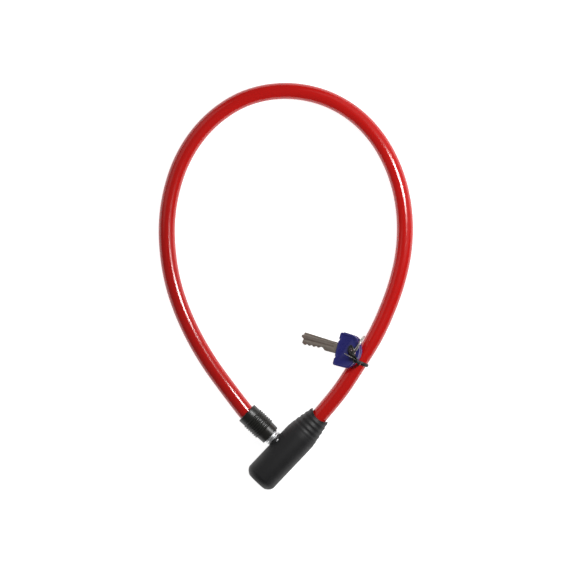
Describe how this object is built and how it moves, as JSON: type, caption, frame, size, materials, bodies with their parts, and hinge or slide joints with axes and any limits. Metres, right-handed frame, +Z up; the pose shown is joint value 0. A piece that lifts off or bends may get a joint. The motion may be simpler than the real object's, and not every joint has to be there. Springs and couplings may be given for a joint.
{
  "type": "keyed cable lock",
  "caption": "Keyed cable lock: plastic-covered steel cable whose ribbed bolt end plugs into the side of a round keyed lock, with keys on a ring tied to the cable.",
  "frame": {"origin": "on the surface the lock lies on, under the middle of its box", "axes": "+Y along the loop away from the lock, +Z up, +X to the right as seen from above"},
  "size_m": [0.1852, 0.2949, 0.028],
  "materials": {
    "cover_plastic": "satin moulded",
    "sleeve_plastic": "satin moulded",
    "sheath": "glossy extruded vinyl",
    "steel": "bright turned",
    "zinc": "plated casting",
    "brass": "turned",
    "rope": "stranded",
    "key_plastic": "moulded",
    "key_metal": "stamped and cut",
    "nickel": "plated wire",
    "tie": "coated wire"
  },
  "bodies": {
    "lock": {"lock_cover": "cover_plastic", "drive_pin": "steel", "lock_housing": "zinc", "cable_crimp": "steel", "crimp_screw": "steel", "rope_end_lock": "rope", "socket_bush": "steel", "latch_spring": "steel", "chamber_cap": "zinc", "cylinder_pin": "steel", "cable_sheath": "sheath", "tie_band": "tie"},
    "cylinder": {"cylinder_plug": "brass", "cam_driver": "steel", "wafer_1": "brass", "wafer_2": "brass", "wafer_3": "brass", "wafer_4": "brass", "wafer_5": "brass", "wafer_spring_1": "steel", "wafer_spring_2": "steel", "wafer_spring_3": "steel", "wafer_spring_4": "steel", "wafer_spring_5": "steel"},
    "latch": {"latch": "steel"},
    "bolt": {"bolt_pin": "steel", "bolt_washer": "steel", "bolt_sleeve": "sleeve_plastic", "rope_end_bolt": "rope"},
    "ring": {"key_ring": "nickel"},
    "key_1": {"key_1_head": "key_plastic", "key_1_blade": "key_metal"},
    "key_2": {"key_2_head": "key_plastic", "key_2_blade": "key_metal"}
  },
  "joints": [
    {"name": "cylinder_turn", "type": "hinge", "parent": "lock", "child": "cylinder", "pos_m": [0.0001, -0.1199, 0.0114], "axis": [-0.6884, -0.7254, 0], "range_deg": [0, 90]},
    {"name": "latch_slide", "type": "slide", "parent": "lock", "child": "latch", "axis": [0, 0, 1], "range_m": [0, 0.00254], "deforming": ["latch_spring"]},
    {"name": "bolt_pull", "type": "slide", "parent": "lock", "child": "bolt", "axis": [-0.7254, 0.6884, 0], "range_m": [0, 0.021], "deforming": ["cable_sheath"]},
    {"name": "ring_swing", "type": "hinge", "parent": "lock", "child": "ring", "pos_m": [0.04857, -0.04837, 0.02], "axis": [0, 0, 1], "range_deg": [0, 6]},
    {"name": "key_1_swing", "type": "hinge", "parent": "ring", "child": "key_1", "pos_m": [0.04796, -0.04821, 0.02174], "axis": [-0.3311, 0.0856, 0.9397], "range_deg": [-10, 10]},
    {"name": "key_2_swing", "type": "hinge", "parent": "ring", "child": "key_2", "pos_m": [0.04918, -0.04853, 0.01826], "axis": [-0.3311, 0.0856, 0.9397], "range_deg": [-10, 10]}
  ],
  "couplings": [
    {"joint": "latch_slide", "follows": "cylinder_turn", "m_per_rad": 0.001617}
  ]
}
